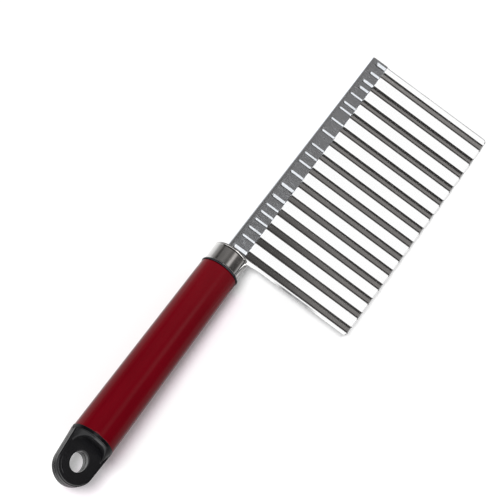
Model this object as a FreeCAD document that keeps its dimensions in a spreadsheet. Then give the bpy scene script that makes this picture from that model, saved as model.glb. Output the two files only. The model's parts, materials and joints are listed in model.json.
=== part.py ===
import FreeCAD, Part
import math
import os
import Sketcher

# Hand crinkle cutter: a corrugated steel blade held in a folded steel spine, on a
# tapered tube handle with a steel ferrule and a plastic hanging cap.
#
# The tool is drawn along X, with the cap's tip at x = 0 and the handle's axis on the
# X axis. The cutting edge points to -Y and the blade's waves rise and fall along Z.
# At the end the whole tool is set down as it lies on a table.

DRIVING_SIZES = [
    ("cap_length", 19.2, "cap's tip to the tube"),
    ("ear_radius", 7.15, "rounded end of the hanging ear"),
    ("ear_flare", 2.4, "slope of the ear's sides, in degrees"),
    ("ear_thickness", 5.6, "flat ear, face to face"),
    ("ear_edge_round", 0.6, "rounding of the ear's rim"),
    ("ear_root", 5.4, "ear's overlap with the collar"),
    ("hang_hole_radius", 3.55, "hanging hole"),
    ("hang_hole_reach", 10.1, "tube's rear end to the hole's axis"),
    ("hole_rim_round", 0.3, "rounded rims of the hanging hole"),
    ("recess_round", 0.3, "rounding between the ear's face and the recess wall"),
    ("collar_land", 1.85, "round recess to the collar's edge at the tube"),
    ("collar_step", 0.08, "collar outside the ear's sides and the tube"),
    ("collar_edge_round", 0.35, "rounded edge of the collar at the tube"),
    ("cap_turn", 15.0, "cap's turn about the handle's axis, in degrees"),
    ("spigot_length", 11.0, "cap's plug inside the tube"),
    ("spigot_bore_radius", 5.6, "hollow of the plug"),
    ("spigot_bore_depth", 9.0, "depth of the plug's hollow"),
    ("tube_length", 77.2, "painted tube"),
    ("tube_rear_radius", 8.28, "tube at the cap"),
    ("tube_front_radius", 7.4, "tube at the ferrule"),
    ("tube_wall", 0.6, "tube sheet"),
    ("tube_rim_round", 0.45, "rounded front rim of the tube"),
    ("bush_length", 13.0, "bush inside the tube"),
    ("bush_flange", 0.5, "bush flange seen between tube and ferrule"),
    ("bush_flange_inset", 0.25, "flange below the tube's outside"),
    ("bush_pin_place", 6.0, "flange to the cross pin"),
    ("pin_radius", 1.0, "cross pin"),
    ("pin_end_gap", 0.3, "cross pin's end below the bush's outside"),
    ("ferrule_length", 6.8, "steel ferrule"),
    ("ferrule_radius", 6.6, "ferrule outside"),
    ("ferrule_wall", 0.5, "ferrule sheet"),
    ("ferrule_bead_width", 0.6, "bead at the ferrule's base and lip at its front"),
    ("ferrule_bead_height", 0.2, "bead above the ferrule's side"),
    ("ferrule_groove_width", 0.4, "groove behind the ferrule's lip"),
    ("ferrule_edge_round", 0.15, "rounded edges of the ferrule"),
    ("blade_gap", 1.6, "ferrule to the blade's near edge"),
    ("blade_length", 95.0, "blade, near edge to far edge"),
    ("blade_depth", 49.4, "handle's axis to the cutting edge"),
    ("blade_sheet", 0.4, "blade sheet"),
    ("wave_pitch", 6.81, "crest to crest"),
    ("wave_depth", 1.4, "crest to valley, on the sheet's middle"),
    ("wave_bend_radius", 0.35, "inside radius of each bend"),
    ("far_land", 1.63, "far edge to the first valley"),
    ("corner_radius", 1.2, "rounded corners of the cutting edge"),
    ("bevel_width", 0.7, "ground bevel along the cutting edge"),
    ("bevel_depth", 0.2, "sheet that the bevel takes off at the edge"),
    ("spine_back", 2.4, "handle's axis to the spine's back"),
    ("spine_depth", 6.8, "spine, back to the free edge of its flanges"),
    ("spine_wall", 0.5, "spine sheet"),
    ("spine_end_gap", 0.35, "blade's far edge past the spine's end"),
    ("spine_insert", 4.6, "spine inside the ferrule"),
    ("spine_edge_round", 0.15, "rounded free edges of the flanges"),
    ("crease_count", 17, "pressed creases along each flange"),
    ("crease_depth", 0.12, "depth of a crease"),
    ("crease_width", 0.5, "width of a crease"),
    ("tang_tail", 44.0, "tang behind the bush's flange"),
    ("tang_inset", 0.2, "tang's lower edge inside the spine's free edge"),
    ("tang_rod_end_gap", 2.0, "spine's end past the rod in its fold"),
    ("tang_end_round", 1.5, "rounded corners of the tang's tail"),
    ("slip", 0.05, "clearance on each side of a close fit"),
    ("sheet_slip", 0.03, "clearance on each side of the blade in the spine"),
]

# Stations along the tool, built up from the driving sizes.
TUBE_REAR = "Sizes.cap_length"
TUBE_FRONT = f"({TUBE_REAR} + Sizes.tube_length)"
FERRULE_BASE = f"({TUBE_FRONT} + Sizes.bush_flange)"
FERRULE_FRONT = f"({FERRULE_BASE} + Sizes.ferrule_length)"
BLADE_NEAR = f"({FERRULE_FRONT} + Sizes.blade_gap)"
BLADE_FAR = f"({BLADE_NEAR} + Sizes.blade_length)"
SPINE_FAR = f"({BLADE_FAR} - Sizes.spine_end_gap)"
SPINE_REAR = f"({FERRULE_FRONT} - Sizes.spine_insert)"
PIN_PLACE = f"({TUBE_FRONT} - Sizes.bush_pin_place)"

# The waves: a flank's slope, the sheet's thickness measured along Z, and as many whole
# waves, from the middle of a flank past the far edge, as reach the near edge.
FLANK_ANGLE = "atan(2 * Sizes.wave_depth / Sizes.wave_pitch)"
SHEET_RISE = f"(Sizes.blade_sheet / cos({FLANK_ANGLE}))"
FIRST_CREST = f"({BLADE_FAR} - Sizes.far_land + Sizes.wave_pitch / 2)"
SHEET_START = f"({FIRST_CREST} + Sizes.wave_pitch / 4)"
WAVE_COUNT = f"ceil(({SHEET_START} - {BLADE_NEAR}) / Sizes.wave_pitch)"
SHEET_END = f"({SHEET_START} - {WAVE_COUNT} * Sizes.wave_pitch)"
CREST_TOP = f"(Sizes.wave_depth / 2 + {SHEET_RISE} / 2)"
VALLEY_TOP = f"({SHEET_RISE} / 2 - Sizes.wave_depth / 2)"

# The spine: its inner half height just clears the waves.
SPINE_INNER = f"({CREST_TOP} + Sizes.sheet_slip)"
SPINE_OUTER = f"({SPINE_INNER} + Sizes.spine_wall)"
FOLD_CENTRE = f"(Sizes.spine_back - {SPINE_OUTER})"
FLANGE_EDGE = "(Sizes.spine_back - Sizes.spine_depth)"
TANG_HALF = f"({SPINE_INNER} - Sizes.slip)"
TANG_EDGE = f"({FLANGE_EDGE} + Sizes.tang_inset)"
ROD_EDGE = f"({FOLD_CENTRE} - {TANG_HALF})"
BLADE_TOP_EDGE = f"({ROD_EDGE} - Sizes.slip)"

# The close fits between tube, bush, ferrule and cap.
BUSH_RADIUS = "(Sizes.tube_front_radius - Sizes.tube_wall - Sizes.slip)"
NOSE_RADIUS = "(Sizes.ferrule_radius - Sizes.ferrule_wall - Sizes.slip)"
FLANGE_RADIUS = "(Sizes.tube_front_radius - Sizes.bush_flange_inset)"
TUBE_TAPER = "((Sizes.tube_rear_radius - Sizes.tube_front_radius) / Sizes.tube_length)"

# The cap: a round recess about the hanging hole, and the collar that begins where the
# recess leaves the ear's sides.
HOLE_PLACE = f"({TUBE_REAR} - Sizes.hang_hole_reach)"
RECESS_RADIUS = "(Sizes.hang_hole_reach - Sizes.collar_land)"
COLLAR_START = f"({HOLE_PLACE} + sqrt({RECESS_RADIUS} ^ 2 - Sizes.ear_radius ^ 2))"
EAR_END = f"({COLLAR_START} + Sizes.ear_root)"

TOLERANCE = 1e-4

doc = FreeCAD.newDocument("crinkle_cutter")


def make_sheet():
    """Keep every driving size in one sheet, a name for each cell."""
    sheet = doc.addObject("Spreadsheet::Sheet", "Sizes")
    for row, (alias, value, note) in enumerate(DRIVING_SIZES, start=1):
        sheet.set(f"A{row}", note)
        sheet.set(f"B{row}", str(value))
        sheet.setAlias(f"B{row}", alias)
    doc.recompute()
    return sheet


sheet = make_sheet()


def value_of(expression):
    """The number that an expression of the sheet's sizes gives now."""
    result = sheet.evalExpression(expression)
    return float(getattr(result, "Value", result))


def new_body(label):
    body = doc.addObject("PartDesign::Body", label)
    body.Label = label
    return body


def origin_feature(body, role):
    """One of the body's own origin planes or axes."""
    for feature in body.Origin.OriginFeatures:
        if feature.Role == role:
            return feature
    raise ValueError(f"{body.Label} has no {role}")


def new_sketch(body, name, plane, offset=None):
    """A sketch on one of the body's origin planes, moved off it along its normal."""
    sketch = body.newObject("Sketcher::SketchObject", name)
    sketch.AttachmentSupport = [(origin_feature(body, plane), "")]
    sketch.MapMode = "FlatFace"
    if offset:
        sketch.setExpression(".AttachmentOffset.Base.z", offset)
    doc.recompute()
    return sketch


def pin_point(sketch, geometry, end, across, up):
    """Hold one point of the sketch at two expressions from the sketch's origin."""
    for kind, expression in (("DistanceX", across), ("DistanceY", up)):
        place = value_of(expression)
        if abs(place) < TOLERANCE:
            axis = -2 if kind == "DistanceX" else -1
            sketch.addConstraint(Sketcher.Constraint("PointOnObject", geometry, end, axis))
            continue
        index = sketch.addConstraint(
            Sketcher.Constraint(kind, -1, 1, geometry, end, place)
        )
        sketch.setExpression(f"Constraints[{index}]", expression)


def draw_outline(sketch, corners, arcs=None):
    """A closed outline through corners given as expressions. A side whose number is in
    arcs is round about the centre given there, counter-clockwise unless it says not."""
    arcs = arcs or {}
    points = [FreeCAD.Vector(value_of(a), value_of(b), 0) for a, b in corners]
    sides = len(points)
    starts = {}
    ends = {}
    for side in range(sides):
        first = points[side]
        last = points[(side + 1) % sides]
        if side not in arcs:
            number = sketch.addGeometry(Part.LineSegment(first, last))
            starts[side] = (number, 1)
            ends[side] = (number, 2)
            continue
        across, up, turn = arcs[side]
        centre = FreeCAD.Vector(value_of(across), value_of(up), 0)
        begin, finish = (first, last) if turn == "left" else (last, first)
        from_angle = math.atan2(begin.y - centre.y, begin.x - centre.x)
        to_angle = math.atan2(finish.y - centre.y, finish.x - centre.x)
        circle = Part.Circle(centre, FreeCAD.Vector(0, 0, 1), (begin - centre).Length)
        number = sketch.addGeometry(Part.ArcOfCircle(circle, from_angle, to_angle))
        starts[side] = (number, 1 if turn == "left" else 2)
        ends[side] = (number, 2 if turn == "left" else 1)
    for side in range(sides):
        following = (side + 1) % sides
        sketch.addConstraint(
            Sketcher.Constraint("Coincident", *ends[side], *starts[following])
        )
    for side in range(sides):
        pin_point(sketch, *starts[side], *corners[side])
    for side, (across, _, _) in arcs.items():
        place = value_of(across)
        number = starts[side][0]
        if abs(place) < TOLERANCE:
            sketch.addConstraint(Sketcher.Constraint("PointOnObject", number, 3, -2))
            continue
        index = sketch.addConstraint(
            Sketcher.Constraint("DistanceX", -1, 1, number, 3, place)
        )
        sketch.setExpression(f"Constraints[{index}]", across)
    doc.recompute()


def draw_circle(sketch, across, up, radius):
    """A circle whose centre and radius are expressions."""
    centre = FreeCAD.Vector(value_of(across), value_of(up), 0)
    circle = Part.Circle(centre, FreeCAD.Vector(0, 0, 1), value_of(radius))
    number = sketch.addGeometry(circle)
    pin_point(sketch, number, 3, across, up)
    index = sketch.addConstraint(Sketcher.Constraint("Radius", number, value_of(radius)))
    sketch.setExpression(f"Constraints[{index}]", radius)
    doc.recompute()


def pad(body, name, sketch, length, both_ways=False, reverse=False):
    feature = body.newObject("PartDesign::Pad", name)
    feature.Profile = sketch
    feature.setExpression("Length", length)
    if both_ways:
        feature.SideType = "Symmetric"
    feature.Reversed = reverse
    doc.recompute()
    return feature


def pocket(body, name, sketch, length=None, both_ways=False, reverse=False):
    """Cut the sketch's outline out of the body, and make sure that it did cut."""
    before = body.Shape.Volume
    feature = body.newObject("PartDesign::Pocket", name)
    feature.Profile = sketch
    if length:
        feature.setExpression("Length", length)
    else:
        feature.Type = "ThroughAll"
    if both_ways:
        feature.SideType = "Symmetric"
    feature.Reversed = reverse
    doc.recompute()
    if body.Shape.Volume >= before - TOLERANCE:
        raise ValueError(f"{name} cuts nothing out of {body.Label}")
    return feature


def revolve(body, name, sketch):
    feature = body.newObject("PartDesign::Revolution", name)
    feature.Profile = sketch
    feature.ReferenceAxis = (sketch, ["H_Axis"])
    feature.Angle = 360
    doc.recompute()
    return feature


def repeat(body, name, feature, count, spacing, reverse=False):
    """Copies of a feature of the body, evenly spaced along X."""
    pattern = body.newObject("PartDesign::LinearPattern", name)
    pattern.Originals = [feature]
    pattern.Direction = (origin_feature(body, "X_Axis"), [""])
    pattern.Reversed = reverse
    pattern.setExpression("Length", f"({count} - 1) * {spacing}")
    pattern.setExpression("Occurrences", count)
    body.Tip = pattern
    doc.recompute()


def edge_names(body, wanted):
    """The names of the edges of the body's tip that wanted(edge) picks."""
    names = [
        f"Edge{number}"
        for number, edge in enumerate(body.Tip.Shape.Edges, start=1)
        if wanted(edge)
    ]
    if not names:
        raise ValueError(f"{body.Label} has no edge for {wanted.__name__}")
    return names


def round_edges(body, name, radius, wanted):
    """Round every edge of the body's tip that wanted(edge) picks."""
    base = (body.Tip, edge_names(body, wanted))
    feature = body.newObject("PartDesign::Fillet", name)
    feature.Base = base
    feature.setExpression("Radius", radius)
    doc.recompute()
    return feature


def near(first, second):
    return abs(first - second) < TOLERANCE


def edge_middle(edge):
    return edge.valueAt((edge.FirstParameter + edge.LastParameter) / 2)


def lies_at(edge, **places):
    """True where the whole edge lies at the given x, y or z."""
    box = edge.BoundBox
    for axis, place in places.items():
        low = getattr(box, f"{axis.upper()}Min")
        high = getattr(box, f"{axis.upper()}Max")
        if not near(low, place) or not near(high, place):
            return False
    return True


def is_ring(edge, radius, place):
    """True for a round edge about the handle's axis with this radius and station."""
    curve = edge.Curve
    if not isinstance(curve, Part.Circle):
        return False
    return near(curve.Radius, radius) and lies_at(edge, x=place)


def make_wave_blade():
    """The corrugated sheet: one wave repeated along X, a ground bevel on the cutting
    edge, and both ends cut off square with a rounded corner at that edge."""
    body = new_body("wave_blade")
    low_crest = f"({CREST_TOP} - {SHEET_RISE})"
    low_valley = f"({VALLEY_TOP} - {SHEET_RISE})"
    half_rise = f"({SHEET_RISE} / 2)"
    valley_place = f"({FIRST_CREST} - Sizes.wave_pitch / 2)"
    wave_end = f"({SHEET_START} - Sizes.wave_pitch)"
    sketch = new_sketch(body, "wave_section", "XZ_Plane", f"(0 - {BLADE_TOP_EDGE})")
    draw_outline(sketch, [
        (SHEET_START, half_rise),
        (FIRST_CREST, CREST_TOP),
        (valley_place, VALLEY_TOP),
        (wave_end, half_rise),
        (wave_end, f"(0 - {half_rise})"),
        (valley_place, low_valley),
        (FIRST_CREST, low_crest),
        (SHEET_START, f"(0 - {half_rise})"),
    ])
    wave = pad(body, "wave", sketch, f"{BLADE_TOP_EDGE} + Sizes.blade_depth")
    repeat(body, "waves", wave, WAVE_COUNT, "Sizes.wave_pitch", reverse=True)

    crest = value_of(CREST_TOP)
    crest_under = value_of(low_crest)
    valley = value_of(VALLEY_TOP)
    valley_under = value_of(low_valley)

    def inside_bend(edge):
        return lies_at(edge, z=valley) or lies_at(edge, z=crest_under)

    def outside_bend(edge):
        return lies_at(edge, z=crest) or lies_at(edge, z=valley_under)

    round_edges(body, "inside_bends", "Sizes.wave_bend_radius", inside_bend)
    round_edges(
        body, "outside_bends", "Sizes.wave_bend_radius + Sizes.blade_sheet", outside_bend
    )
    grind_edge(body)
    cut_end(body, "far_end", BLADE_FAR, SHEET_START, "+")
    cut_end(body, "near_end", BLADE_NEAR, SHEET_END, "-")
    return body


def sheet_middle(place):
    """The height of the sheet's middle surface at a station, bends left out."""
    turns = (value_of(FIRST_CREST) - place) / value_of("Sizes.wave_pitch")
    from_crest = abs(turns - round(turns))
    return value_of("Sizes.wave_depth") * (0.5 - 2 * from_crest)


def grind_edge(body):
    """The bevel ground on the upper side of the sheet along its cutting edge."""
    cutting_edge = -value_of("Sizes.blade_depth")
    near_middle = value_of("Sizes.blade_sheet / 4")

    def upper_side(edge):
        middle = edge_middle(edge)
        above = middle.z - sheet_middle(middle.x) > near_middle
        return above and lies_at(edge, y=cutting_edge)

    base = (body.Tip, edge_names(body, upper_side))
    feature = body.newObject("PartDesign::Chamfer", "bevel")
    feature.Base = base
    feature.ChamferType = "Two distances"
    feature.FlipDirection = True
    feature.setExpression("Size", "Sizes.bevel_depth")
    feature.setExpression("Size2", "Sizes.bevel_width")
    doc.recompute()


def cut_end(body, name, end, sheet_end, outward):
    """Cut the sheet off square at one end, and round the corner of the cutting edge."""
    inward = "-" if outward == "+" else "+"
    radius = "Sizes.corner_radius"
    edge = "(0 - Sizes.blade_depth)"
    inner = f"({end} {inward} {radius})"
    outer = f"({sheet_end} {outward} {radius})"
    arc_turn = "right" if outward == "+" else "left"
    sketch = new_sketch(body, f"{name}_outline", "XY_Plane")
    draw_outline(sketch, [
        (end, f"({edge} + {radius})"),
        (inner, edge),
        (inner, f"({edge} - {radius})"),
        (outer, f"({edge} - {radius})"),
        (outer, f"({BLADE_TOP_EDGE} + {radius})"),
        (end, f"({BLADE_TOP_EDGE} + {radius})"),
    ], {0: (inner, f"({edge} + {radius})", arc_turn)})
    pocket(body, name, sketch, both_ways=True)


def make_spine_channel():
    """The folded strip that grips the blade's top edge, with a round fold at its back
    and creases pressed across both flanges."""
    body = new_body("spine_channel")
    sketch = new_sketch(body, "channel_section", "YZ_Plane", SPINE_REAR)
    draw_outline(sketch, [
        (FLANGE_EDGE, SPINE_OUTER),
        (FLANGE_EDGE, SPINE_INNER),
        (FOLD_CENTRE, SPINE_INNER),
        (FOLD_CENTRE, f"(0 - {SPINE_INNER})"),
        (FLANGE_EDGE, f"(0 - {SPINE_INNER})"),
        (FLANGE_EDGE, f"(0 - {SPINE_OUTER})"),
        (FOLD_CENTRE, f"(0 - {SPINE_OUTER})"),
        (FOLD_CENTRE, SPINE_OUTER),
    ], {2: (FOLD_CENTRE, "0", "right"), 6: (FOLD_CENTRE, "0", "left")})
    pad(body, "channel", sketch, f"{SPINE_FAR} - {SPINE_REAR}")

    outer = value_of(SPINE_OUTER)
    free_edge = value_of(FLANGE_EDGE)

    def flange_rim(edge):
        return lies_at(edge, y=free_edge, z=outer) or lies_at(edge, y=free_edge, z=-outer)

    round_edges(body, "flange_rims", "Sizes.spine_edge_round", flange_rim)

    spacing = f"(({SPINE_FAR} - {FERRULE_FRONT}) / (Sizes.crease_count + 1))"
    first = f"({FERRULE_FRONT} + {spacing})"
    for side, sign in (("upper", ""), ("lower", "0 - ")):
        sketch = new_sketch(body, f"{side}_crease_section", "XZ_Plane", f"(0 - {FOLD_CENTRE})")
        half = "Sizes.crease_width / 2"
        draw_outline(sketch, [
            (f"({first} - {half})", f"({sign}{SPINE_OUTER})"),
            (first, f"({sign}({SPINE_OUTER} - Sizes.crease_depth))"),
            (f"({first} + {half})", f"({sign}{SPINE_OUTER})"),
        ])
        crease = pocket(
            body, f"{side}_crease", sketch, f"{FOLD_CENTRE} - {FLANGE_EDGE} + Sizes.slip",
            reverse=True,
        )
        repeat(body, f"{side}_creases", crease, "Sizes.crease_count", spacing)
    return body


def make_tang():
    """The bar that joins blade and handle: flat in the bush and the ferrule, and a
    round-backed rod in the spine's fold beyond."""
    body = new_body("tang")
    tail = f"({TUBE_FRONT} - Sizes.tang_tail)"
    bar_end = f"({BLADE_NEAR} - Sizes.slip)"
    sketch = new_sketch(body, "bar_section", "YZ_Plane", tail)
    draw_outline(sketch, [
        (TANG_EDGE, TANG_HALF),
        (TANG_EDGE, f"(0 - {TANG_HALF})"),
        (FOLD_CENTRE, f"(0 - {TANG_HALF})"),
        (FOLD_CENTRE, TANG_HALF),
    ], {2: (FOLD_CENTRE, "0", "left")})
    pad(body, "bar", sketch, f"{bar_end} - {tail}")

    sketch = new_sketch(body, "rod_section", "YZ_Plane", bar_end)
    draw_outline(sketch, [
        (ROD_EDGE, TANG_HALF),
        (ROD_EDGE, f"(0 - {TANG_HALF})"),
        (FOLD_CENTRE, f"(0 - {TANG_HALF})"),
        (FOLD_CENTRE, TANG_HALF),
    ], {2: (FOLD_CENTRE, "0", "left")})
    pad(body, "rod", sketch, f"{SPINE_FAR} - Sizes.tang_rod_end_gap - {bar_end}")

    sketch = new_sketch(body, "pin_hole_circle", "XY_Plane")
    draw_circle(sketch, PIN_PLACE, "0", "Sizes.pin_radius + Sizes.slip")
    pocket(body, "pin_hole", sketch, f"4 * {TANG_HALF}", both_ways=True)

    tail_place = value_of(tail)
    lower_edge = value_of(TANG_EDGE)
    round_edges(
        body, "tail_corner", "Sizes.tang_end_round",
        lambda edge: lies_at(edge, x=tail_place, y=lower_edge),
    )
    return body


def make_tang_pin():
    """The pin that crosses the bush and the tang."""
    body = new_body("tang_pin")
    sketch = new_sketch(body, "pin_circle", "XY_Plane")
    draw_circle(sketch, PIN_PLACE, "0", "Sizes.pin_radius")
    pad(body, "pin", sketch, f"2 * ({BUSH_RADIUS} - Sizes.pin_end_gap)", both_ways=True)
    return body


def make_ferrule():
    """The drawn steel cup at the handle's front: a bead at its base, a lip with a
    groove behind it at its front, and a slot for the spine."""
    body = new_body("ferrule")
    outside = "Sizes.ferrule_radius"
    inside = "(Sizes.ferrule_radius - Sizes.ferrule_wall)"
    bead = "(Sizes.ferrule_radius + Sizes.ferrule_bead_height)"
    groove = "(Sizes.ferrule_radius - Sizes.ferrule_bead_height)"
    bead_end = f"({FERRULE_BASE} + Sizes.ferrule_bead_width)"
    lip_start = f"({FERRULE_FRONT} - Sizes.ferrule_bead_width)"
    groove_start = f"({lip_start} - Sizes.ferrule_groove_width)"
    front_inside = f"({FERRULE_FRONT} - Sizes.ferrule_wall)"
    sketch = new_sketch(body, "cup_section", "XY_Plane")
    draw_outline(sketch, [
        (FERRULE_BASE, inside),
        (FERRULE_BASE, bead),
        (bead_end, bead),
        (bead_end, outside),
        (groove_start, outside),
        (groove_start, groove),
        (lip_start, groove),
        (lip_start, outside),
        (FERRULE_FRONT, outside),
        (FERRULE_FRONT, "0"),
        (front_inside, "0"),
        (front_inside, inside),
    ])
    revolve(body, "cup", sketch)

    sketch = new_sketch(body, "slot_section", "YZ_Plane", FERRULE_FRONT)
    draw_spine_slot(sketch)
    pocket(body, "slot", sketch, "2 * Sizes.ferrule_wall")

    base = value_of(FERRULE_BASE)
    front = value_of(FERRULE_FRONT)
    rims = (
        (value_of(bead), base),
        (value_of(bead), value_of(bead_end)),
        (value_of(outside), front),
    )
    round_edges(
        body, "ferrule_rims", "Sizes.ferrule_edge_round",
        lambda edge: any(is_ring(edge, radius, place) for radius, place in rims),
    )
    return body


def draw_spine_slot(sketch):
    """The spine's outer section with a clearance all round."""
    half = f"({SPINE_OUTER} + Sizes.slip)"
    draw_outline(sketch, [
        (f"({FLANGE_EDGE} - Sizes.slip)", half),
        (f"({FLANGE_EDGE} - Sizes.slip)", f"(0 - {half})"),
        (FOLD_CENTRE, f"(0 - {half})"),
        (FOLD_CENTRE, half),
    ], {2: (FOLD_CENTRE, "0", "left")})


def make_front_bush():
    """The plastic bush that fills the tube's mouth, with a thin flange against the
    tube, a nose inside the ferrule, and slots for the spine and the tang."""
    body = new_body("front_bush")
    rear = f"({TUBE_FRONT} - Sizes.bush_length)"
    nose_end = f"({FERRULE_FRONT} - Sizes.ferrule_wall - Sizes.slip)"
    sketch = new_sketch(body, "bush_section", "XY_Plane")
    draw_outline(sketch, [
        (rear, "0"),
        (nose_end, "0"),
        (nose_end, NOSE_RADIUS),
        (FERRULE_BASE, NOSE_RADIUS),
        (FERRULE_BASE, FLANGE_RADIUS),
        (TUBE_FRONT, FLANGE_RADIUS),
        (TUBE_FRONT, BUSH_RADIUS),
        (rear, BUSH_RADIUS),
    ])
    revolve(body, "bush", sketch)

    sketch = new_sketch(body, "spine_slot_section", "YZ_Plane", nose_end)
    draw_spine_slot(sketch)
    pocket(body, "spine_slot", sketch, f"{nose_end} - {SPINE_REAR} + Sizes.slip")

    half = f"({TANG_HALF} + Sizes.slip)"
    lower_edge = f"({TANG_EDGE} - Sizes.slip)"
    sketch = new_sketch(body, "tang_slot_section", "YZ_Plane", nose_end)
    draw_outline(sketch, [
        (lower_edge, half),
        (lower_edge, f"(0 - {half})"),
        (FOLD_CENTRE, f"(0 - {half})"),
        (FOLD_CENTRE, half),
    ], {2: (FOLD_CENTRE, "0", "left")})
    pocket(body, "tang_slot", sketch)

    sketch = new_sketch(body, "bush_pin_circle", "XY_Plane")
    draw_circle(sketch, PIN_PLACE, "0", "Sizes.pin_radius + Sizes.slip")
    pocket(body, "bush_pin_hole", sketch, f"3 * {BUSH_RADIUS}", both_ways=True)
    return body


def make_handle_tube():
    """The tapered tube, open at both ends, with a rounded front rim."""
    body = new_body("handle_tube")
    rear = "Sizes.tube_rear_radius"
    front = "Sizes.tube_front_radius"
    sketch = new_sketch(body, "tube_section", "XY_Plane")
    draw_outline(sketch, [
        (TUBE_REAR, f"({rear} - Sizes.tube_wall)"),
        (TUBE_REAR, rear),
        (TUBE_FRONT, front),
        (TUBE_FRONT, f"({front} - Sizes.tube_wall)"),
    ])
    revolve(body, "tube", sketch)
    ring = value_of(front)
    place = value_of(TUBE_FRONT)
    round_edges(
        body, "front_rim", "Sizes.tube_rim_round", lambda edge: is_ring(edge, ring, place)
    )
    return body


def ear_side(place):
    """Half the ear's width at a station: a line that touches the ear's round end."""
    return (
        "(Sizes.ear_radius / cos(Sizes.ear_flare)"
        f" + ({place} - Sizes.ear_radius) * tan(Sizes.ear_flare))"
    )


def make_end_cap():
    """The plastic cap: a flat ear with a rounded rim and a hanging hole, a collar with
    a round recess on either side of the ear, and a hollow plug in the tube."""
    body = new_body("end_cap")
    touch = "(Sizes.ear_radius * (1 - sin(Sizes.ear_flare)))"
    touch_half = "(Sizes.ear_radius * cos(Sizes.ear_flare))"
    root_half = ear_side(EAR_END)
    sketch = new_sketch(body, "ear_outline", "XY_Plane")
    draw_outline(sketch, [
        (touch, touch_half),
        (touch, f"(0 - {touch_half})"),
        (EAR_END, f"(0 - {root_half})"),
        (EAR_END, root_half),
    ], {0: ("Sizes.ear_radius", "0", "left")})
    pad(body, "ear", sketch, "Sizes.ear_thickness", both_ways=True)

    face = value_of("Sizes.ear_thickness / 2")
    root = value_of(EAR_END)

    def on_face(edge):
        return lies_at(edge, z=face) or lies_at(edge, z=-face)

    def is_arc(edge, radius):
        curve = edge.Curve
        return on_face(edge) and isinstance(curve, Part.Circle) and near(curve.Radius, radius)

    def ear_rim(edge):
        return on_face(edge) and not lies_at(edge, x=root)

    round_edges(body, "ear_rim", "Sizes.ear_edge_round", ear_rim)

    spigot_end = f"({TUBE_REAR} + Sizes.spigot_length)"
    bore_start = f"({spigot_end} - Sizes.spigot_bore_depth)"
    inside = "(Sizes.tube_rear_radius - Sizes.tube_wall - Sizes.slip)"
    plug_tip = f"({inside} - {TUBE_TAPER} * Sizes.spigot_length)"
    collar = "(Sizes.tube_rear_radius + Sizes.collar_step)"
    sketch = new_sketch(body, "collar_section", "XY_Plane")
    draw_outline(sketch, [
        (COLLAR_START, "0"),
        (bore_start, "0"),
        (bore_start, "Sizes.spigot_bore_radius"),
        (spigot_end, "Sizes.spigot_bore_radius"),
        (spigot_end, plug_tip),
        (TUBE_REAR, inside),
        (TUBE_REAR, collar),
        (COLLAR_START, f"({ear_side(COLLAR_START)} + Sizes.collar_step)"),
    ])
    revolve(body, "collar", sketch)

    for side, offset, back in (
        ("upper", "Sizes.ear_thickness / 2", True),
        ("lower", "0 - Sizes.ear_thickness / 2", False),
    ):
        sketch = new_sketch(body, f"{side}_recess_circle", "XY_Plane", offset)
        draw_circle(sketch, HOLE_PLACE, "0", RECESS_RADIUS)
        pocket(body, f"{side}_recess", sketch, f"2 * {collar}", reverse=back)

    recess = value_of(RECESS_RADIUS)
    round_edges(
        body, "recess_corners", "Sizes.recess_round", lambda edge: is_arc(edge, recess)
    )

    sketch = new_sketch(body, "hang_hole_circle", "XY_Plane")
    draw_circle(sketch, HOLE_PLACE, "0", "Sizes.hang_hole_radius")
    pocket(body, "hang_hole", sketch, "2 * Sizes.ear_thickness", both_ways=True)

    hole = value_of("Sizes.hang_hole_radius")
    round_edges(body, "hole_rims", "Sizes.hole_rim_round", lambda edge: is_arc(edge, hole))

    ring = value_of(collar)
    place = value_of(TUBE_REAR)
    round_edges(
        body, "collar_edge", "Sizes.collar_edge_round", lambda edge: is_ring(edge, ring, place)
    )
    return body


def make_pieces():
    """Every piece of the tool, by the name of its file."""
    return {
        "wave_blade": make_wave_blade(),
        "spine_channel": make_spine_channel(),
        "tang": make_tang(),
        "tang_pin": make_tang_pin(),
        "ferrule": make_ferrule(),
        "front_bush": make_front_bush(),
        "handle_tube": make_handle_tube(),
        "end_cap": make_end_cap(),
    }


def lying_pitch():
    """The tool lies on the tube's front rim and the spine's far end: the slope of the
    line under these two, in degrees, far end down."""
    rim = value_of("Sizes.tube_front_radius")
    spine = value_of(SPINE_OUTER)
    run = value_of(SPINE_FAR) - value_of(TUBE_FRONT)
    return math.degrees(math.atan((rim - spine) / run))


def set_down(pieces):
    """Turn the cap on its axis, pitch the whole tool about Y, and move it so that the
    middle of its bounding box stands on the origin."""
    pitch = FreeCAD.Rotation(FreeCAD.Vector(0, 1, 0), lying_pitch())
    turn = FreeCAD.Rotation(FreeCAD.Vector(1, 0, 0), value_of("Sizes.cap_turn"))
    own_places = {name: piece.Placement for name, piece in pieces.items()}
    own_places["end_cap"] = FreeCAD.Placement(FreeCAD.Vector(), turn)
    pitched = FreeCAD.Placement(FreeCAD.Vector(), pitch)
    whole = FreeCAD.BoundBox()
    for name, piece in pieces.items():
        shape = piece.Shape.copy()
        shape.Placement = pitched.multiply(own_places[name])
        whole.add(shape.optimalBoundingBox(False, False))
    shift = FreeCAD.Vector(-whole.Center.x, -whole.Center.y, -whole.ZMin)
    seat = FreeCAD.Placement(shift, pitch)
    for name, piece in pieces.items():
        piece.Placement = seat.multiply(own_places[name])
    doc.recompute()


def check(pieces):
    """Stop if an object failed or a piece has no sound solid."""
    for item in doc.Objects:
        if "Invalid" in item.State or "Error" in item.State:
            raise ValueError(f"{item.Label} failed: {item.State}")
    for name, piece in pieces.items():
        shape = piece.Shape
        if shape.isNull() or not shape.isValid() or len(shape.Solids) != 1:
            raise ValueError(f"{name} has no sound solid")


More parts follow.
